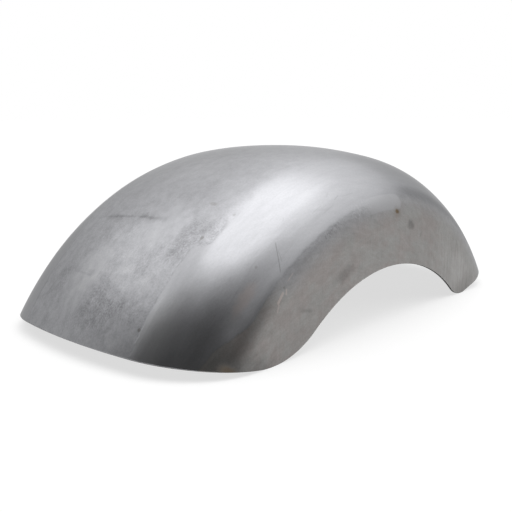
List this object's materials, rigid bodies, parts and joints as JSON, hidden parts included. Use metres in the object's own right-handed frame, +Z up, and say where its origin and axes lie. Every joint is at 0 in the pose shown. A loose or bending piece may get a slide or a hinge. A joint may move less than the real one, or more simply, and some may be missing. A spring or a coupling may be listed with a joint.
{
  "type": "motorcycle rear fender",
  "caption": "Wide bare steel rear fender blank for a motorcycle: a sheet curved about the wheel, with a crowned top, flat sides and rounded lower corners.",
  "frame": {"origin": "under the middle of the fender's length and width, on the surface that its four lower corners stand on", "axes": "+X along the wheel towards the front end, +Y across the wheel, +Z up"},
  "size_m": [0.5784, 0.322, 0.183],
  "materials": {
    "bare_steel": "bare pressed steel, brushed and ground by hand, with grinding bands, faint stains and light scratches"
  },
  "bodies": {
    "root": {"fender_shell": "bare_steel"}
  },
  "joints": []
}
